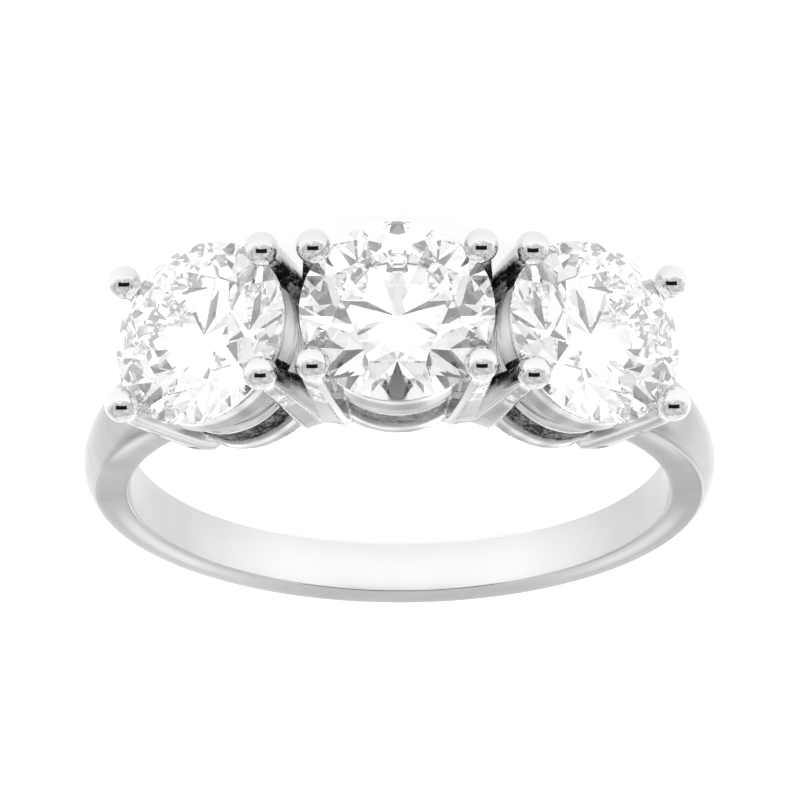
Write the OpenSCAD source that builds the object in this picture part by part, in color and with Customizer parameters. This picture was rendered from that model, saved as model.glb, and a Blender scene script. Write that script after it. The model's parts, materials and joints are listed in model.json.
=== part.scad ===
// Three stone ring, lying on its side.
// Shank, collets, rails and claws are soldered into one piece of white metal.
// Each stone is a round brilliant held by four ball-tipped claws.

/* [Finger and shank] */
// Inside diameter of the finger hole
finger_d = 17.3; // [15:0.1:21]
// Thickness of the shank at its flat sides
side_t = 1.06; // [0.8:0.02:1.6]
// Rise of the domed outside above the shank's edges
dome_rise = 0.38; // [0.2:0.02:0.6]
// Width of the shank at the palm
palm_w = 1.72; // [1.4:0.02:2.2]
// Width of the shank where it meets the outer collets
shoulder_w = 2.7; // [2.4:0.05:3.2]

/* [Stones] */
// Diameter of each stone across its girdle
stone_d = 5.9; // [5:0.1:6.6]
// Thickness of the girdle
girdle_t = 0.17; // [0.1:0.01:0.3]
// Width of the table from corner to corner
table_d = 3.36; // [3:0.02:3.7]
// Slope of the eight crown main facets, in degrees
crown_angle = 34.5; // [30:0.5:37]
// Slope of the eight pavilion main facets, in degrees
pavilion_angle = 40.8; // [39:0.2:42]
// Reach of the star facets, from the table's edge to the girdle
star_reach = 0.5; // [0.4:0.05:0.6]
// Reach of the lower girdle facets, from the girdle to the point
lower_reach = 0.77; // [0.7:0.01:0.85]
// How far the main facets cut into the girdle's edge
main_bite = 0.03; // [0.02:0.01:0.06]
// Width of the blunted point
culet_d = 0.06; // [0.04:0.01:0.2]
// Height of the point above the finger
culet_lift = 0.95; // [0.6:0.05:1.5]
// Space between two neighbouring girdles
stone_gap = 0.48; // [0.3:0.02:0.8]

/* [Claws] */
// Diameter of the ball at a claw's tip
ball_d = 1.06; // [0.9:0.02:1.2]
// How far a ball's centre stands outside the girdle
ball_out = 0.24; // [0.15:0.01:0.35]
// Height of a ball's centre above the middle of the girdle
ball_lift = 0.49; // [0.4:0.01:0.6]
// Angle of the middle collet's claws from the row of stones, in degrees
middle_claw_angle = 37.4; // [32:0.5:45]
// Angle of the outer collets' claws from the row of stones, in degrees
outer_claw_angle = 39.9; // [32:0.5:45]
// Angle of a claw's foot from the row of stones, in degrees
foot_angle = 45; // [40:1:50]
// How far a claw's foot stands outside the lower rail
foot_out = 0.38; // [0.2:0.02:0.6]
// Width of a claw across its flat outer face and its bevels
claw_w = 0.86; // [0.7:0.02:1]
// Thickness of a claw from its inner to its outer face
claw_t = 0.8; // [0.65:0.02:0.95]
// Bevel along a claw's edges
claw_bevel = 0.2; // [0.1:0.02:0.28]

/* [Rails] */
// How far the upper rail stays inside the girdle
upper_inset = 0.18; // [0.1:0.02:0.3]
// Depth of the upper rail's top below the middle of the girdle
upper_drop = 0.25; // [0.2:0.02:0.4]
// Height of the upper rail
upper_h = 1; // [0.6:0.05:1.1]
// Thickness of the upper rail
upper_t = 0.6; // [0.4:0.05:0.8]
// How far the lower rail stays inside the girdle
lower_inset = 0.46; // [0.3:0.02:0.6]
// Height of the lower rail's top above the finger, at the middle of the rail
lower_h = 0.45; // [0.3:0.05:0.8]
// Thickness of the lower rail
lower_t = 0.5; // [0.4:0.05:0.8]
// Height of the rough gallery wall that stands on the lower rail
wall_h = 0.7; // [0.3:0.05:0.9]
// How far the gallery wall stays inside the lower rail's outer side
wall_step = 0.08; // [0.05:0.01:0.15]
// Bevel along the rails' edges
rail_bevel = 0.1; // [0.05:0.01:0.15]
// Clearance between a stone and the metal that holds it
seat_gap = 0.04; // [0.02:0.01:0.08]

/* [Hidden] */
$fn = 96;
silver = "#d9dadc";
clear_white = "#eef3f6";
facet_step = 45;

finger_r = finger_d / 2;
stone_r = stone_d / 2;
table_r = table_d / 2;
girdle_top = girdle_t / 2;
main_r = stone_r - main_bite;
crown_h = (main_r - table_r) * tan(crown_angle);
pavilion_h = (main_r - culet_d / 2) * tan(pavilion_angle);

// Distance from the ring's axis to the middle of each girdle
reach = finger_r + culet_lift + pavilion_h + girdle_top;
// Turn of an outer collet that leaves stone_gap between two girdles
outer_turn = 2 * (atan(stone_r / reach) + asin(stone_gap / 2 / norm([reach, stone_r])));

ball_r = stone_r + ball_out;
upper_r = stone_r - upper_inset;
lower_r = stone_r - lower_inset;
foot_r = lower_r + foot_out - claw_t / 2;
foot_drop = reach - finger_r;
edge_r = finger_r + side_t;
crest_r = edge_r + dome_rise;

// Shoulders of the dome: each side's arc leans with the widening shank
shoulder_h = edge_r * cos(outer_turn + asin(lower_r / reach));
lean = atan((shoulder_w - palm_w) / 2 / (shoulder_h + edge_r));
half_w_level = palm_w / 2 + edge_r * tan(lean);
dome_w = shoulder_w / 2 + 0.2;
dome_r = (dome_w * dome_w + dome_rise * dome_rise) / 2 / dome_rise;
shank_end = outer_turn + asin((lower_r - lower_t / 2) / edge_r);
beyond = 3 * edge_r;

// Lean of the resting ring: it lies on two girdles and on the palm's edge
function girdle_sag(lift) = stone_r * sqrt(1 - pow(cos(outer_turn) * sin(lift), 2));
function settle(lift, turns) =
    turns == 0 ? lift :
    settle(atan((girdle_sag(lift) / cos(lift) - palm_w / 2)
        / ((reach - girdle_top) * cos(outer_turn) + edge_r)), turns - 1);
rest_lift = settle(6, 8);
rest_h = palm_w / 2 * cos(rest_lift) + edge_r * sin(rest_lift);
head_y = (reach + ball_lift) * cos(rest_lift)
    + ball_r * sin(middle_claw_angle) * sin(rest_lift) + ball_d / 2;
palm_y = crest_r * cos(rest_lift);

// Stands the ring, modelled upright with its head on top, on its side on the floor
module at_rest() {
    translate([0, (head_y - palm_y) / 2, rest_h])
        rotate([90 - rest_lift, 0, 0])
            children();
}

// Carries a stone or collet, drawn round its girdle's middle, to its seat on the ring
module at_seat(turn) {
    rotate([0, turn, 0])
        translate([0, 0, reach])
            children();
}

// Long prism with a kite section that bounds four facets, two above and two below the girdle
module facet_prism(azimuth, r, crown_slope, pavilion_slope) {
    edge = r + girdle_t / (tan(crown_slope) + tan(pavilion_slope));
    top = girdle_top + r * tan(crown_slope);
    low = -girdle_top - r * tan(pavilion_slope);
    side_z = girdle_top + (r - edge) * tan(crown_slope);
    rotate([0, 0, azimuth])
        rotate([90, 0, 0])
            linear_extrude(height = 2 * stone_d, center = true)
                polygon([[edge, side_z], [0, top], [-edge, side_z], [0, low]]);
}

// Round brilliant: table, crown of 32 facets, girdle and pavilion of 24 facets
module brilliant() {
    half = facet_step / 2;
    quarter = facet_step / 4;
    table_z = girdle_top + crown_h;
    table_in = table_r * cos(half);
    star_r = table_in + star_reach * (stone_r - table_in);
    star_z = girdle_top + (stone_r - star_r * cos(half)) * tan(crown_angle);
    star_slope = atan((table_z - star_z) / (star_r - table_in));
    star_rim = table_in + crown_h / tan(star_slope);
    break_r = stone_r * cos(quarter);
    break_slope = atan((star_z - girdle_top) / (break_r - star_r * cos(quarter)));
    lower_tip = stone_r * (1 - lower_reach);
    lower_depth = (stone_r - lower_tip * cos(half)) * tan(pavilion_angle);
    lower_slope = atan(lower_depth / (break_r - lower_tip * cos(quarter)));
    intersection() {
        translate([0, 0, -girdle_top - pavilion_h])
            cylinder(r = stone_r, h = girdle_t + crown_h + pavilion_h);
        intersection_for (i = [0:3]) {
            facet_prism(i * facet_step, main_r, crown_angle, pavilion_angle);
        }
        intersection_for (i = [0:7]) {
            facet_prism(quarter + i * half, break_r, break_slope, lower_slope);
        }
        intersection_for (i = [0:3]) {
            facet_prism(half + i * facet_step, star_rim, star_slope, lower_slope);
        }
    }
}

// Room for a stone: its outline of revolution with the clearance added
module stone_room() {
    crown_gap = seat_gap / cos(crown_angle);
    pavilion_gap = seat_gap / cos(pavilion_angle);
    room_r = stone_r + seat_gap;
    rim_top = girdle_top + crown_gap - seat_gap * tan(crown_angle);
    rim_low = girdle_top + pavilion_gap - seat_gap * tan(pavilion_angle);
    point_z = girdle_top + pavilion_gap + stone_r * tan(pavilion_angle);
    peak_z = girdle_top + crown_gap + stone_r * tan(crown_angle);
    rotate_extrude()
        polygon([[0, -point_z], [room_r, -rim_low], [room_r, rim_top], [0, peak_z]]);
}

// Rail with bevelled edges, round the collet's axis
module rail(outer_r, thick, low_z, top_z) {
    rotate_extrude()
        polygon([
            [outer_r - thick + rail_bevel, low_z],
            [outer_r - rail_bevel, low_z],
            [outer_r, low_z + rail_bevel],
            [outer_r, top_z - rail_bevel],
            [outer_r - rail_bevel, top_z],
            [outer_r - thick + rail_bevel, top_z],
            [outer_r - thick, top_z - rail_bevel],
            [outer_r - thick, low_z + rail_bevel]
        ]);
}

// One claw: a bevelled bar from its foot at the finger up to the ball over the girdle
module claw(angle, foot_turn) {
    tip = [ball_r * cos(angle), ball_r * sin(angle), ball_lift];
    foot = [foot_r * cos(foot_turn), foot_r * sin(foot_turn), -foot_drop];
    along = tip - foot;
    rise = norm(along);
    run = norm([along[0], along[1]]);
    heading = atan2(along[1], along[0]);
    in_x = claw_t / 2;
    in_y = claw_w / 2;
    translate(tip)
        sphere(d = ball_d);
    translate(foot)
        rotate([0, 0, heading])
            rotate([0, atan2(run, along[2]), 0])
                rotate([0, 0, (angle + foot_turn) / 2 - heading])
                    translate([0, 0, -claw_t])
                        linear_extrude(height = rise + claw_t)
                            polygon([
                                [-in_x, -in_y + claw_bevel],
                                [-in_x + claw_bevel, -in_y],
                                [in_x - claw_bevel, -in_y],
                                [in_x, -in_y + claw_bevel],
                                [in_x, in_y - claw_bevel],
                                [in_x - claw_bevel, in_y],
                                [-in_x + claw_bevel, in_y],
                                [-in_x, in_y - claw_bevel]
                            ]);
}

// Wall of the gallery, rough from casting, that rises out of the lower rail
module gallery_wall() {
    translate([0, 0, -foot_drop + lower_h / 2])
        rotate_extrude()
            translate([lower_r - lower_t + wall_step, 0])
                square([lower_t - 2 * wall_step, lower_h / 2 + wall_h]);
}

// Collet of two rails, a wall between them and four claws, round its stone's axis
module collet(claw_angle) {
    rail(upper_r, upper_t, -upper_drop - upper_h, -upper_drop);
    // The lower rail reaches under the curve of the finger hole, which trims it
    rim_sag = finger_r - sqrt(finger_r * finger_r - lower_r * lower_r);
    rail(lower_r, lower_t, -foot_drop - rim_sag - 2 * rail_bevel, -foot_drop + lower_h);
    gallery_wall();
    for (side = [0, 1]) {
        mirror([side, 0, 0]) {
            claw(claw_angle, foot_angle);
            claw(-claw_angle, -foot_angle);
        }
    }
}

// Band that bounds the shank on the side it leans to, and reaches far past the other
module leaning_band(side) {
    rotate([-side * lean, 0, 0])
        rotate([90, 0, 0])
            rotate_extrude()
                intersection() {
                    translate([finger_r / 2, side > 0 ? -half_w_level : -2 * beyond + half_w_level])
                        square([beyond, 2 * beyond]);
                    translate([crest_r - dome_r, side * (dome_w - half_w_level)])
                        circle(r = dome_r, $fn = 4 * $fn);
                }
}

// Domed shank, from one outer collet round the palm to the other
module shank() {
    difference() {
        intersection() {
            leaning_band(1);
            leaning_band(-1);
        }
        rotate([90, 0, 0])
            linear_extrude(height = 2 * shoulder_w, center = true)
                polygon([
                    [0, 0],
                    [beyond * sin(shank_end), beyond * cos(shank_end)],
                    [-beyond * sin(shank_end), beyond * cos(shank_end)]
                ]);
    }
}

module finger_hole() {
    rotate([90, 0, 0])
        cylinder(r = finger_r, h = 4 * stone_d, center = true, $fn = 2 * $fn);
}

module ring_mount() {
    color(silver)
        at_rest()
            difference() {
                union() {
                    shank();
                    at_seat(0) collet(middle_claw_angle);
                    at_seat(-outer_turn) collet(outer_claw_angle);
                    at_seat(outer_turn) collet(outer_claw_angle);
                }
                finger_hole();
                for (turn = [-outer_turn, 0, outer_turn]) {
                    at_seat(turn) stone_room();
                }
            }
}

module seated_stone(turn) {
    color(clear_white)
        at_rest()
            at_seat(turn)
                brilliant();
}

module centre_stone() {
    seated_stone(0);
}

module left_stone() {
    seated_stone(-outer_turn);
}

module right_stone() {
    seated_stone(outer_turn);
}

ring_mount();
centre_stone();
left_stone();
right_stone();
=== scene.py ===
import json
from math import atan2, cos, hypot, pi, radians, sin, sqrt, tan

import bmesh
import bpy
from mathutils import Matrix, Vector


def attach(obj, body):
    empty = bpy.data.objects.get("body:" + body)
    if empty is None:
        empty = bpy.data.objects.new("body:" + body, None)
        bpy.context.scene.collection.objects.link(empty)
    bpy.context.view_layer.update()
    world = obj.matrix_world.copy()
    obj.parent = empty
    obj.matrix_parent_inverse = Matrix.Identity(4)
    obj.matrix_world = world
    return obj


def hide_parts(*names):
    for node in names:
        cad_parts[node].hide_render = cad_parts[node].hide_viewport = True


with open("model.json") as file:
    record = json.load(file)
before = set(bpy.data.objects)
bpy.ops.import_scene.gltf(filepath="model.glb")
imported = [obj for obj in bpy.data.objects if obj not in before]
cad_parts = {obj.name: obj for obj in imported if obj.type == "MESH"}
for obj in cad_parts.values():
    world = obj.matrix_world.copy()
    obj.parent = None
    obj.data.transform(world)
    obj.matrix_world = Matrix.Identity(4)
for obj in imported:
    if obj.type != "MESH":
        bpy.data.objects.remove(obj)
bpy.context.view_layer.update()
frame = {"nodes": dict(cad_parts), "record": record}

# Stones
# Three round brilliants, cut and polished from a clear hard stone that bends light strongly. The frame
# holds every facet, so they keep its solids. A faint painted glow stands for the light their facets catch
# from the room, and it is stronger in the outer stones and near the floor.
stone_ior = 2.417
painted_glow_strength = 0.03
painted_glow_scale = 500.0
painted_glow_swing = 0.3
painted_glow_base = 0.85
# The painted glow's share in the middle stone, and how far aside it ends and the full glow starts, in
# metres
middle_share = 0.35
middle_end, outer_start = 0.0035, 0.0075
# What the painted glow gains near the floor, and the heights between which it does, in metres
floor_share = 0.4
painted_glow_top, painted_glow_floor = 0.0038, 0.0016


class Value:
    """A number or colour socket that Python expressions can use."""

    def __init__(self, nodes, socket):
        self.nodes = nodes
        self.socket = socket

    def math(self, operation, other, swap=False):
        """The result of a sum with this value, which comes second if they swap."""
        values = [other, self] if swap else [self, other]
        return self.nodes.add("ShaderNodeMath", {"operation": operation}, {0: values[0], 1: values[1]})

    def __add__(self, other):
        return self.math("ADD", other)

    def __sub__(self, other):
        return self.math("SUBTRACT", other)

    def __mul__(self, other):
        return self.math("MULTIPLY", other)

    def __rsub__(self, other):
        return self.math("SUBTRACT", other, swap=True)

    __radd__ = __add__
    __rmul__ = __mul__


class Nodes:
    """The node tree of one material or of the world, emptied to start with."""

    def __init__(self, owner):
        owner.use_nodes = True
        self.tree = owner.node_tree
        self.tree.nodes.clear()

    def add(self, kind, settings=None, inputs=None, output=0):
        """Adds a node, links or sets its inputs and gives its output of this number."""
        node = self.tree.nodes.new(kind)
        for name, value in (settings or {}).items():
            setattr(node, name, value)
        for name, value in (inputs or {}).items():
            if isinstance(value, Value):
                self.tree.links.new(value.socket, node.inputs[name])
            else:
                node.inputs[name].default_value = value
        return Value(self, node.outputs[output]) if node.outputs else None


def finish_material(nodes, shader):
    """Gives the material this shader."""
    nodes.add("ShaderNodeOutputMaterial", None, {"Surface": shader})


def noise(nodes, place, scale, detail=2.0, roughness=0.5):
    """Soft random spots, as many to a metre as the scale says."""
    return nodes.add("ShaderNodeTexNoise", None, {
        "Vector": place, "Scale": scale, "Detail": detail, "Roughness": roughness})


clear = bpy.data.materials.new("clear_stone")
nodes = Nodes(clear)
place = nodes.add("ShaderNodeTexCoord", None, None, output=3)
aside = nodes.add("ShaderNodeMath", {"operation": "ABSOLUTE"}, {
    0: nodes.add("ShaderNodeSeparateXYZ", None, {"Vector": place})})
height = nodes.add("ShaderNodeSeparateXYZ", None, {"Vector": place}, output=2)
outer = nodes.add("ShaderNodeMapRange", None, {
    "Value": aside, "From Min": middle_end, "From Max": outer_start,
    "To Min": middle_share, "To Max": 1.0})
low = nodes.add("ShaderNodeMapRange", None, {
    "Value": height, "From Min": painted_glow_top, "From Max": painted_glow_floor, "To Min": 0.0, "To Max": floor_share})
# The stones' painted glow: soft patches, stronger in the outer stones and near the floor
painted_glow = (noise(nodes, place, painted_glow_scale) * painted_glow_swing + painted_glow_base) * (outer + low)
painted_glow_colour = nodes.add("ShaderNodeCombineColor", None, {"Red": painted_glow, "Green": painted_glow, "Blue": painted_glow})
finish_material(nodes, nodes.add("ShaderNodeBsdfPrincipled", None, {
    "Base Color": (1, 1, 1, 1), "Roughness": 0.0, "IOR": stone_ior, "Transmission Weight": 1.0,
    "Emission Color": painted_glow_colour, "Emission Strength": painted_glow_strength}))
for name in ("centre_stone", "left_stone", "right_stone"):
    stone = frame["nodes"][name]
    stone.data.materials.clear()
    stone.data.materials.append(clear)

# White metal
# The whole mount is one white metal. A wheel has polished what it reaches, and between the stones the
# metal keeps the grainy skin of the mould, painted near black there as shade. Painted shade and painted
# highlights set how light each spot is, and matt spots get a painted glow. Each vertex says how raw and
# shaded, how painted-shaded or lit, how worn and how matt its spot is. The scales are those of the noise
# that makes each kind of unevenness.
bright = 0.775
painted_shading_drop = 0.4
matt_painted_lift = 0.2
matt_painted_glow = 0.22
mould_skin_and_shade = (0.015, 0.015, 0.014, 1)
relief = 0.00003
grain_scale = 9000.0
patch_scale = 2600.0
dent_scale = 3200.0
haze_scale = 700.0
spots_from, spots_to = 0.46, 0.56
speckle_from, speckle_to = 0.42, 0.6
lightest_speckle = 0.25
raw_roughness = 0.32
matt_roughness = 0.4
haze_relief = 0.02
worn_relief = 1.5


def white_metal(name, polish, haze_share):
    """Metal with this roughness where it is polished, with painted shade, painted highlights, a painted
    glow and the mould's dark skin where its vertices say so.
    """
    material = bpy.data.materials.new(name)
    nodes = Nodes(material)
    place = nodes.add("ShaderNodeTexCoord", None, None, output=3)
    raw, dull, worn, matt = [
        nodes.add("ShaderNodeAttribute", {"attribute_name": kind}, None, output=2)
        for kind in ("raw", "dull", "worn", "matt")]
    grain = noise(nodes, place, grain_scale, 5.0, 0.7)
    patches = noise(nodes, place, patch_scale, 3.0, 0.6)
    dents = noise(nodes, place, dent_scale)
    haze = noise(nodes, place, haze_scale, 3.0)
    spots = nodes.add("ShaderNodeMapRange", {"interpolation_type": "SMOOTHSTEP"}, {
        "Value": dents, "From Min": spots_from, "From Max": spots_to})
    speckle = nodes.add("ShaderNodeMapRange", {"clamp": True}, {
        "Value": grain * 0.6 + patches * 0.4, "From Min": speckle_from, "From Max": speckle_to,
        "To Min": 1.0, "To Max": lightest_speckle})
    # Painted shading darkens the metal where shade falls, and below zero it paints highlights; matt spots
    # are painted lighter
    level = bright - dull * (1 - worn * spots) * (haze * 0.5 + 0.6) * painted_shading_drop + matt * matt_painted_lift
    smooth = nodes.add("ShaderNodeCombineColor", None, {"Red": level, "Green": level, "Blue": level})
    # Where a spot is raw, the mould's grainy skin is painted near black, as shade falling between the parts
    colour = nodes.add("ShaderNodeMix", {"data_type": "RGBA"}, {
        "Factor": raw * speckle, 6: smooth, 7: mould_skin_and_shade}, output=2)
    rough = raw * raw_roughness + matt * matt_roughness + haze * haze_share + polish
    skin = raw * grain + haze * haze_relief + worn * dents * worn_relief
    bumps = nodes.add("ShaderNodeBump", None, {"Strength": 1.0, "Distance": relief, "Height": skin})
    # Matt spots glow faintly, a painted glow that lightens them
    glow = nodes.add("ShaderNodeCombineColor", None, {"Red": matt, "Green": matt, "Blue": matt})
    finish_material(nodes, nodes.add("ShaderNodeBsdfPrincipled", None, {
        "Base Color": colour, "Roughness": rough, "Metallic": 1.0, "Normal": bumps,
        "Emission Color": glow, "Emission Strength": matt_painted_glow}))
    return material


# Shank
# The band is drawn wire bent round the finger, flat inside and at its sides and domed outside. It is
# narrow at the palm, widens towards the shoulders and is soldered to the outer collets. Band and collets
# are made upright, head on top and finger along Y, and lie_down lays them on their side in the frame.
scene = bpy.context.scene
mm = 0.001
hole = frame["record"]["mounts"][0]
finger = Vector(hole["axis"]).normalized()
across = Vector((1, 0, 0))
lie_down = Matrix((across, finger, across.cross(finger))).transposed().to_4x4()
lie_down.translation = Vector(hole["pos_m"])
finger_r = hole["dims"]["r_mm"]
side_t = 1.06
dome_rise = 0.38
palm_w = 1.72
shoulder_w = 2.7
widening = 2.4
shank_end = radians(43.5)
edge_r = finger_r + side_t
side_points = 6
dome_points = 12
turn_steps = 160
edge_bevel = 0.08
inside_skin = 0.03
side_skin = 0.02
crown_painted_shading = 0.9
nearly = 1e-4
satin = white_metal("satin_white_metal", polish=0.10, haze_share=0.14)


def solid(name, bm, material):
    """A bmesh drawn upright in millimetres becomes a piece of the mount where the ring lies."""
    bmesh.ops.transform(bm, matrix=lie_down @ Matrix.Scale(mm, 4), verts=bm.verts)
    bmesh.ops.recalc_face_normals(bm, faces=bm.faces)
    mesh = bpy.data.meshes.new(name)
    bm.to_mesh(mesh)
    bm.free()
    mesh.shade_smooth()
    mesh.materials.append(material)
    piece = bpy.data.objects.new(name, mesh)
    scene.collection.objects.link(piece)
    return piece


def between(low, high, value):
    """0 below low, 1 above high and a straight run between them."""
    return min(1.0, max(0.0, (value - low) / (high - low)))


def set_finish_and_shading(piece, spots):
    """Stores how raw and shaded, how painted-shaded or lit, how worn and how matt and glowing each vertex
    is.
    """
    for kind, values in zip(("raw", "dull", "worn", "matt"), zip(*spots)):
        piece.data.attributes.new(kind, "FLOAT", "POINT").data.foreach_set("value", values)


def settle_in(piece):
    """The piece rides with the ring and stands for the frame's plain mount."""
    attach(piece, "root")
    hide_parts("ring_mount")


def half_width(height):
    """Half the band's width at this height above the finger's middle."""
    shoulder_h = edge_r * cos(shank_end)
    share = max(0.0, (height + edge_r) / (shoulder_h + edge_r))
    return (palm_w + (shoulder_w - palm_w) * share ** widening) / 2


def shank_finish_and_shading(place):
    """How raw, painted-shaded or lit, worn and matt a spot of the shank is, from its place in the upright
    ring.

    The share round the band is 0 at the palm and 1 halfway up the finger."""
    r = hypot(place.x, place.z)
    round_share = abs(atan2(place.x, -place.z)) / radians(90)
    if r < finger_r + inside_skin:
        # The inside has painted shade, lightest at the palm and darker towards the shoulders
        dull = 0.6 * between(0.3, 0.62, round_share) + 0.35 * between(0.8, 1.3, round_share) - 0.1
    elif abs(place.y) > half_width(place.z) - side_skin:
        # The flat sides get painted shade, with a painted highlight streak near the finger and a painted
        # glint beside the collets
        over = (r - finger_r) / side_t
        painted_streak = between(0.1, 0.25, over) * between(0.65, 0.45, over)
        painted_streak *= between(0.35, 0.55, round_share) * between(0.95, 0.8, round_share)
        painted_glint = between(1.2, 1.3, round_share) * between(1.46, 1.38, round_share) * between(0.6, 0.75, over)
        dull = 0.95 - 0.25 * between(0.22, 0.36, round_share) + 0.35 * between(0.6, 1.0, round_share)
        dull -= 0.3 * between(0.7, 1.0, over) * between(1.0, 0.6, round_share)
        dull -= 0.75 * painted_streak + 0.7 * painted_glint
    else:
        # The domed crown has even painted shade
        dull = crown_painted_shading
    return 0.0, dull, 0.0, 0.0


bm = bmesh.new()
section = [(finger_r, -1.0), (finger_r, 1.0)]
section += [(finger_r + side_t * i / side_points, 1.0) for i in range(1, side_points)]
for i in range(dome_points + 1):
    y = 1 - 2 * i / dome_points
    section.append((edge_r + dome_rise * (1 - y * y), y))
section += [(finger_r + side_t * i / side_points, -1.0) for i in range(side_points - 1, 0, -1)]
ring = [bm.verts.new((r * sin(shank_end), y, r * cos(shank_end))) for r, y in section]
first = bm.faces.new(ring)
bmesh.ops.spin(bm, geom=[first], cent=(0, 0, 0), axis=(0, 1, 0), steps=turn_steps,
               angle=2 * pi - 2 * shank_end, use_duplicate=False)
corners = []
for edge in bm.edges:
    a, b = (v.co for v in edge.verts)
    r = hypot(a.x, a.z)
    along = abs(r - hypot(b.x, b.z)) < nearly and abs(a.y - b.y) < nearly
    if along and abs(abs(a.y) - 1) < nearly and min(abs(r - finger_r), abs(r - edge_r)) < nearly:
        corners.append(edge)
for v in bm.verts:
    v.co.y *= half_width(v.co.z)
bmesh.ops.bevel(bm, geom=corners, offset=edge_bevel, segments=4, profile=0.5, affect="EDGES",
                material=-1)
shank = solid("shank", bm, satin)
to_upright = (lie_down @ Matrix.Scale(mm, 4)).inverted()
set_finish_and_shading(shank, [shank_finish_and_shading(to_upright @ v.co) for v in shank.data.vertices])
settle_in(shank)

# Collets
# Each stone sits in an open basket: an upper and a lower rail with a rough wall between them, and four
# claws. They are cast together and soldered to the next basket. The claws are bent bars with bevelled
# edges, and a ball on each tip is pushed over the stone. Heights are from the stone's girdle.
stone_r = 2.95
girdle_t = 0.17
seat_gap = 0.04
crown_slope = radians(34.5)
pavilion_slope = radians(40.8)
reach = 12.18
outer_turn = radians(29.425)
foot_h = finger_r - reach
ball_r = 0.53
ball_h = 0.49
ball_out = stone_r + 0.24
claw_t = 0.66
foot_spread = 0.25
claw_bevel = 0.15
claw_steps = 16
foot_r = 2.5
foot_angle = radians(47)
bend_r = 3.1
bend_angle = radians(42.8)
bend_h = -1.43
foot_depth = 0.3
foot_round = 0.15
foot_round_end = 0.24
claw_taper = 0.18
gap_flare = 0.45
tip_growth = 0.33
face_turn = radians(30)
# Inner and outer radius, lowest and highest point
upper_rail = (2.17, 2.77, -1.25, -0.25)
lower_rail = (1.99, 2.49, -4.2, -2.95)
wall = (2.05, 2.41, -3.6, -1.95)
wall_line = (2.2, 2.49, -2.22, -2.1)
rail_bevel = 0.1
line_bevel = 0.03
rail_foot = -1.35
middle_tip, outer_tip = radians(37.4), radians(39.9)
middle_claw_w, outer_claw_w = 0.88, 0.72
# How raw and shaded the walls and the claws' hidden sides are, where 1 is all skin of the mould with light
# specks, painted near black as shade, and more leaves fewer specks
middle_shade_and_rawness, outer_shade_and_rawness = 0.78, 1.25
claw_shade_and_rawness = 1.8
claw_raw_shade_cap = 1.6
wall_raw_shade_cap = 1.25
open_side_glow = 0.6
root_depth = 0.5
# A spot belongs to a claw within these distances from the claw's middle line and outside the rails
claw_hidden_w = 1.0
claw_margin = 0.03
claw_hidden_t = 0.75
rails_end = 2.52
merge_distance = 1e-5
finger_segments = 256
finger_l = 20
round_steps = 96
frame_steps = 24
first_voxel, last_voxel = 0.03, 0.048
polished = white_metal("polished_white_metal", polish=0.03, haze_share=0.05)


def rail(bm, inner, outer, low, top, bevel):
    """A ring with bevelled edges round the stone's axis."""
    corners = ((inner, low), (outer, low), (outer, top), (inner, top))
    made = [bm.verts.new((r, 0, z)) for r, z in corners]
    bm.faces.new(made)
    bmesh.ops.bevel(bm, geom=made, offset=bevel, segments=3, profile=0.5, affect="VERTICES", material=-1)
    bmesh.ops.delete(bm, geom=list(bm.faces), context="FACES_ONLY")
    bmesh.ops.spin(bm, geom=list(bm.edges) + list(bm.verts), cent=(0, 0, 0), axis=(0, 0, 1),
                   angle=2 * pi, steps=round_steps, use_merge=True)
    bmesh.ops.remove_doubles(bm, verts=bm.verts, dist=merge_distance)


def polar(r, angle, h):
    """The point at this distance from the stone's axis, at this angle round it and at this height."""
    return Vector((r * cos(angle), r * sin(angle), h))


def claw_frame(t, tip_angle):
    """The middle of a claw and its two directions across, at the share t of the way from foot to tip."""
    foot = polar(foot_r, foot_angle, foot_h - root_depth)
    bend = polar(bend_r, bend_angle, bend_h)
    tip = polar(ball_out, tip_angle, ball_h)
    middle = foot * (1 - t) ** 2 + bend * 2 * t * (1 - t) + tip * t ** 2
    along = ((bend - foot) * (1 - t) + (tip - bend) * t).normalized()
    side = along.cross(Vector((middle.x, middle.y, 0))).normalized()
    side = Matrix.Rotation(face_turn, 3, along) @ side
    return middle, side, side.cross(along)


def claw_share(height):
    """The share of the way from a claw's foot to its tip at which its middle line is at this height."""
    low = foot_h - root_depth
    a = low - 2 * bend_h + ball_h
    b = 2 * (bend_h - low)
    return (sqrt(b * b - 4 * a * (low - min(height, ball_h))) - b) / (2 * a)


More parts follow.
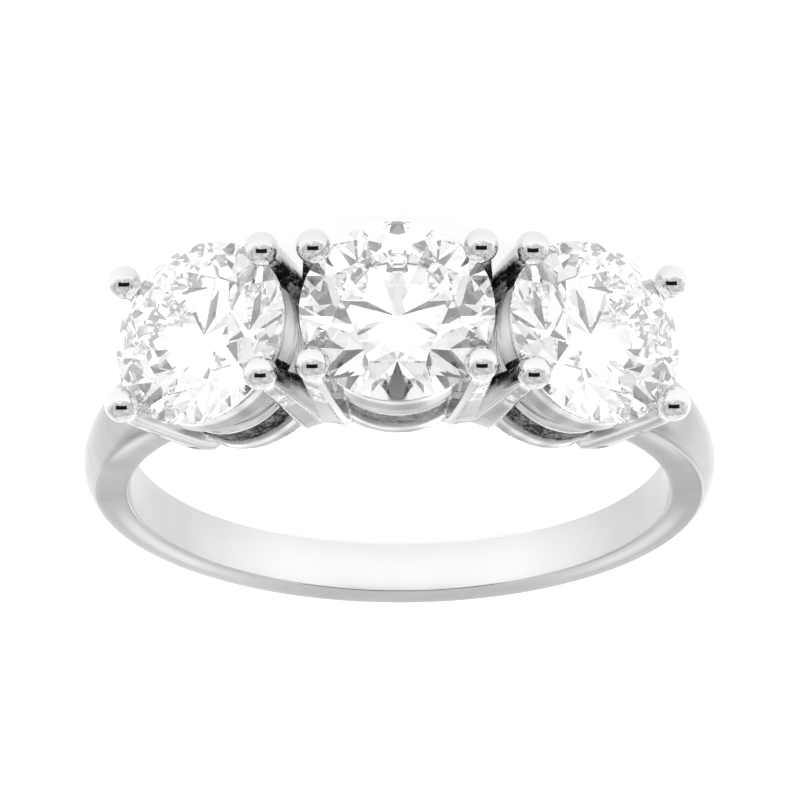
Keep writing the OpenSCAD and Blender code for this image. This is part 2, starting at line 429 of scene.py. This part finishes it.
def claw(bm, tip_angle, claw_w):
    """A bevelled bar that follows a bend from its foot to its tip, with the ball on the tip."""
    bar = bmesh.ops.create_cube(bm, size=1)["verts"]
    bmesh.ops.scale(bm, vec=(claw_t, claw_w, 1), verts=bar)
    upright = [e for e in bm.edges if abs(e.verts[0].co.z - e.verts[1].co.z) > 0.5]
    bmesh.ops.subdivide_edges(bm, edges=upright, cuts=claw_steps)
    upright = [e for e in bm.edges if abs(e.verts[0].co.z - e.verts[1].co.z) > nearly]
    bmesh.ops.bevel(bm, geom=upright, offset=claw_bevel, segments=1, profile=0.5, affect="EDGES",
                    material=-1)
    for v in bm.verts:
        t = v.co.z + 0.5
        middle, side, outward = claw_frame(t, tip_angle)
        inner = v.co.x < 0
        depth = v.co.x * (1 + foot_depth / claw_t * 2 * (1 - t) if inner else 1 + tip_growth * t ** 3)
        if not inner:
            depth -= foot_round * max(0, 1 - t / foot_round_end) ** 2
        flare = (gap_flare * min(1, 2 - 2 * t) if inner else 0) + foot_spread * (1 - t) ** 3
        wide = v.co.y * (1 - claw_taper * t)
        v.co = middle + outward * depth + side * (wide - (flare if v.co.y < 0 else 0))
    bmesh.ops.create_icosphere(bm, subdivisions=4, radius=ball_r,
                               matrix=Matrix.Translation(claw_frame(1, tip_angle)[0]))


def shaped(piece, kind, **settings):
    """Applies one modifier to a piece."""
    modifier = piece.modifiers.new(kind.lower(), kind)
    for name, value in settings.items():
        setattr(modifier, name, value)
    bpy.context.view_layer.update()
    mesh = bpy.data.meshes.new_from_object(piece.evaluated_get(bpy.context.evaluated_depsgraph_get()))
    piece.modifiers.clear()
    piece.data = mesh


def stone_room(bm):
    """The outline that a stone needs, turned round its axis, to cut the claws' notches with."""
    half = girdle_t / 2 + seat_gap
    wide = stone_r + seat_gap
    outline = [(0, -half - wide * tan(pavilion_slope)), (wide, -half), (wide, half),
               (0, half + wide * tan(crown_slope))]
    verts = [bm.verts.new((r, 0, z)) for r, z in outline]
    for one, other in zip(verts, verts[1:]):
        bm.edges.new((one, other))
    bmesh.ops.spin(bm, geom=list(bm.edges) + list(bm.verts), cent=(0, 0, 0), axis=(0, 0, 1),
                   angle=2 * pi, steps=round_steps, use_merge=True)
    bmesh.ops.remove_doubles(bm, verts=bm.verts, dist=merge_distance)


def claw_finish_and_shading(place, sideways, outward, out):
    """The mould skin, painted shade and wear of a claw's spot that faces this much sideways and outward.

    It lies this far out from the claw's middle line."""
    face = between(0.86, 0.95, outward)
    # Deep down on the claw, its hidden side and its inside get the mould skin painted near black, as shade
    deep_shade = between(0.1, -0.2, out) * between(-4.0, -3.2, place.z) * between(0.1, -0.2, place.z)
    raw = between(0.3, 0.8, -sideways) * deep_shade * claw_shade_and_rawness
    raw += between(0.3, 0.7, -outward) * between(0.1, -0.1, place.z)
    # Painted shade on the outward face and on the sides, by which way they face, fading out near the top
    dull = max(face, 0.35 * between(0.6, 0.9, abs(sideways)), 0.55 * between(0.35, 0.6, sideways))
    dull *= between(0.15, -0.1, place.z)
    worn = face * between(-0.2, -0.4, place.z) * between(-1.5, -1.1, place.z)
    return min(claw_raw_shade_cap, raw), dull, worn, 0.0


def rail_finish_and_shading(place, facing, shade_and_rawness):
    """The mould skin, painted shade, matt and painted glow of a spot of the rails and the wall between
    them, facing this much outward.
    """
    r = hypot(place.x, place.y)
    by_a_neighbour = abs(place.x) > 2.0 and abs(place.y) < 1.5
    inward = between(0.1, 0.5, -facing) * between(0.15, -0.05, place.z) * 0.3
    wall_side = between(2.52, 2.46, r) * between(-2.98, -2.9, place.z) * between(-1.0, -1.3, place.z)
    wall_side *= shade_and_rawness
    # The line along the wall has no painted shade, and the wall above it gets painted shade, is matt and
    # has a painted glow
    if r > 2.42 and -2.25 < place.z < -2.07:
        return 0.0, 0.0, 0.0, 0.0
    if r < 2.46 and -2.08 < place.z < rail_foot:
        return 0.0, 0.4, 0.0, 0.4
    # Beside the next collet the wheel has reached little: the wall keeps some mould skin, and both rails
    # are matt with painted shade and a painted glow, with a painted highlight stripe on the upper rail
    if by_a_neighbour and place.z < rail_foot:
        return 0.25 * wall_side, 0.3, 0.0, 0.4
    if by_a_neighbour and place.z > rail_foot:
        painted_stripe = between(-0.42, -0.5, place.z) * between(-0.95, -0.87, place.z)
        return 0.0, 0.6 * (1 - painted_stripe), 0.0, 0.5 + 0.5 * painted_stripe
    # Elsewhere the rails get painted shade towards their lower edges where they face out, and the inner
    # faces and the wall keep the mould skin, painted dark as shade
    upper = between(-0.62, -0.74, place.z) * between(-1.3, -1.2, place.z)
    lower = between(-3.14, -3.06, place.z) + 0.8 * between(-3.26, -3.34, place.z)
    dull = max(upper, lower if place.z < -2 else 0) * between(0.5, 0.8, facing)
    return min(wall_raw_shade_cap, max(inward, wall_side)), dull, 0.0, 0.0


def collet_finish_and_shading(place, normal, frames, claw_w, shade_and_rawness, meets):
    """How raw and shaded, how painted-shaded, how worn and how matt and glowing a spot of a collet is, from
    its place and facing there.

    Only the claws on the side that meets the next collet keep a raw, shaded side; on the open side they get
    a painted glow instead."""
    flip = Vector((-1 if place.x < 0 else 1, -1 if place.y < 0 else 1, 1))
    spot, facing = place * flip, normal * flip
    share = min(1.0, max(0.0, claw_share(spot.z)))
    middle, side, outward = frames[round(share * (len(frames) - 1))]
    off = spot - middle
    across, out = off.dot(side), off.dot(outward)
    on_a_claw = -claw_hidden_w < across < claw_w / 2 + claw_margin and out > -claw_hidden_t
    if on_a_claw and hypot(place.x, place.y) > rails_end:
        sideways = facing.dot(side)
        raw, dull, worn, matt = claw_finish_and_shading(spot, sideways, facing.dot(outward), out)
        # On the open side the claw's side loses its painted shade and gets a painted glow
        if (place.x > 0 and meets == "-x") or (place.x < 0 and meets == "+x"):
            open_side = between(0.7, 0.9, sideways) * between(0.38, 0.2, out)
            open_side *= between(0.15, -0.1, spot.z)
            return 0.0, dull * (1 - open_side), worn, open_side_glow * open_side
        return raw, dull, worn, matt
    return rail_finish_and_shading(place, normal.dot(Vector((place.x, place.y, 0)).normalized()), shade_and_rawness)


def collet(name, turn, tip_angle, claw_w, shade_and_rawness, meets):
    """One basket, turned this far round the finger, with its claws' width and where it meets the next."""
    seat = Matrix.Rotation(turn, 4, "Y") @ Matrix.Translation((0, 0, reach))
    whole = bmesh.new()
    parts = []
    for ring, bevel in ((upper_rail, rail_bevel), (lower_rail, rail_bevel), (wall, rail_bevel),
                        (wall_line, line_bevel)):
        part = bmesh.new()
        rail(part, *ring, bevel)
        parts.append(part)
    for side in (1, -1):
        for front in (1, -1):
            part = bmesh.new()
            claw(part, tip_angle, claw_w)
            bmesh.ops.scale(part, vec=(side, front, 1), verts=part.verts)
            parts.append(part)
    for part in parts:
        bmesh.ops.recalc_face_normals(part, faces=part.faces)
        mesh = bpy.data.meshes.new("part")
        part.to_mesh(mesh)
        part.free()
        whole.from_mesh(mesh)
        bpy.data.meshes.remove(mesh)
    bmesh.ops.transform(whole, matrix=seat, verts=whole.verts)
    piece = solid(name, whole, polished)
    cutters = bmesh.new()
    stone_room(cutters)
    bmesh.ops.transform(cutters, matrix=seat, verts=cutters.verts)
    bmesh.ops.create_cone(cutters, cap_ends=True, segments=finger_segments, radius1=finger_r,
                          radius2=finger_r, depth=finger_l, matrix=Matrix.Rotation(pi / 2, 4, "X"))
    cutter = solid("cutter", cutters, polished)
    shaped(piece, "REMESH", mode="VOXEL", voxel_size=first_voxel * mm)
    shaped(piece, "BOOLEAN", object=cutter, operation="DIFFERENCE", solver="MANIFOLD")
    shaped(piece, "REMESH", mode="VOXEL", voxel_size=last_voxel * mm)
    shaped(piece, "SMOOTH", factor=0.5, iterations=3)
    bpy.data.objects.remove(cutter)
    piece.data.shade_smooth()
    if not piece.data.materials:
        piece.data.materials.append(polished)
    to_seat = (lie_down @ Matrix.Scale(mm, 4) @ seat).inverted()
    turn_back = to_seat.to_3x3().normalized()
    frames = [claw_frame(i / frame_steps, tip_angle) for i in range(frame_steps + 1)]
    set_finish_and_shading(piece, [collet_finish_and_shading(to_seat @ v.co, turn_back @ v.normal, frames, claw_w, shade_and_rawness, meets)
                       for v in piece.data.vertices])
    settle_in(piece)


collet("middle_collet", 0.0, middle_tip, middle_claw_w, middle_shade_and_rawness, "both")
collet("left_collet", -outer_turn, outer_tip, outer_claw_w, outer_shade_and_rawness, "+x")
collet("right_collet", outer_turn, outer_tip, outer_claw_w, outer_shade_and_rawness, "-x")

# Floor
# A plain pale sheet that the ring lies on. It is lit from below, as on a light table, and stays white
# round the ring.
floor_size = 0.6
paper_grey = (0.78, 0.78, 0.78, 1)
paper_light = 0.69
floor_bm = bmesh.new()
bmesh.ops.create_grid(floor_bm, x_segments=1, y_segments=1, size=floor_size)
floor_mesh = bpy.data.meshes.new("floor")
floor_bm.to_mesh(floor_mesh)
floor_bm.free()
floor = bpy.data.objects.new("floor", floor_mesh)
scene.collection.objects.link(floor)
paper = bpy.data.materials.new("pale_paper")
nodes = Nodes(paper)
finish_material(nodes, nodes.add("ShaderNodeBsdfPrincipled", None, {
    "Base Color": paper_grey, "Roughness": 0.9,
    "Emission Color": (1, 1, 1, 1), "Emission Strength": paper_light}))
floor_mesh.materials.append(paper)

# Light
# A pale grey room lights the metal and the stones. It has a bright wall behind the ring, is brighter low
# down than overhead, and has a dark opening in front, where the camera looks in.
bounces = 24
glossy_bounces = 12
view_h = radians(28.6)
to_opening = view_h + radians(18)
# Half the opening's width and height, with the soft edge's outer and inner end
opening_half_w = (0.64, 0.60)
opening_half_h = (0.25, 0.22)
# How bright each part of the room is, and how much of the light the opening takes away
room_light = 0.76
wall_light = 0.3
low_light = 0.24
opening_dark = 0.98
# The room's soft patches: their scale, how much they vary and the light that they leave everywhere
patches_scale = 3.0
patches_swing = 1.5
patches_base = 0.24


def unit_vector(x, y, z):
    """This direction with a length of one."""
    return Vector((x, y, z)).normalized()


opening = unit_vector(0, -cos(to_opening), sin(to_opening))
opening_up = unit_vector(0, sin(to_opening), cos(to_opening))
world = bpy.data.worlds.new("studio")
scene.world = world
nodes = Nodes(world)
direction = nodes.add("ShaderNodeTexCoord")


def towards(axis):
    """How much a direction points along this axis."""
    return nodes.add("ShaderNodeVectorMath", {"operation": "DOT_PRODUCT"}, {
        0: direction, 1: tuple(axis)}, output=1)


def step(value, low, high):
    """0 at low, 1 at high and a smooth run between them."""
    return nodes.add("ShaderNodeMapRange", {"interpolation_type": "SMOOTHSTEP"}, {
        "Value": value, "From Min": low, "From Max": high})


def size_of(value):
    """A value without its sign."""
    return nodes.add("ShaderNodeMath", {"operation": "ABSOLUTE"}, {0: value})


wall_glow = step(towards(unit_vector(0, 1, 0.45)), 0.55, 0.85)
horizon = step(towards((0, 0, 1)), 0.4, 0.0)
soft = noise(nodes, direction, patches_scale, 1.0) * patches_swing + patches_base
strength = (wall_glow * wall_light + horizon * low_light + room_light) * soft
dark = step(size_of(towards((1, 0, 0))), *opening_half_w)
dark = dark * step(size_of(towards(opening_up)), *opening_half_h)
dark = dark * step(towards(opening), 0.5, 0.6)
strength = strength * (1 - dark * opening_dark)
nodes.add("ShaderNodeOutputWorld", None, {"Surface": nodes.add("ShaderNodeBackground", None, {
    "Color": (1, 1, 1, 1), "Strength": strength})})
scene.view_settings.view_transform = "Standard"
scene.cycles.max_bounces = bounces
scene.cycles.transmission_bounces = bounces
scene.cycles.glossy_bounces = glossy_bounces

# Camera
# It stands at the photo's angle to the ring, 67.3 degrees from the plane of the finger and the row of
# stones, and is rolled by half a turn, because the lying ring has its photographed upper side down.
photo_size = 800
focal_px = 5684
centre_px = (399.5, 467.8)
camera_turn = radians(67.26)
camera_away = 182 * mm
head_turn = radians(-0.33)
head = Matrix.Rotation(head_turn, 3, finger) @ across.cross(finger)
back = head * sin(camera_turn) + finger * cos(camera_turn)
up = head * cos(camera_turn) - finger * sin(camera_turn)
lens = bpy.data.cameras.new("camera")
camera = bpy.data.objects.new("camera", lens)
scene.collection.objects.link(camera)
camera.matrix_world = Matrix.Translation(Vector(hole["pos_m"]) + back * camera_away) @ Matrix(
    (up.cross(back), up, back)).transposed().to_4x4()
lens.sensor_width = 36
lens.lens = focal_px / photo_size * lens.sensor_width
lens.shift_x = (photo_size / 2 - centre_px[0]) / photo_size
lens.shift_y = (centre_px[1] - photo_size / 2) / photo_size
lens.clip_start = 0.01
lens.clip_end = 5
scene.camera = camera
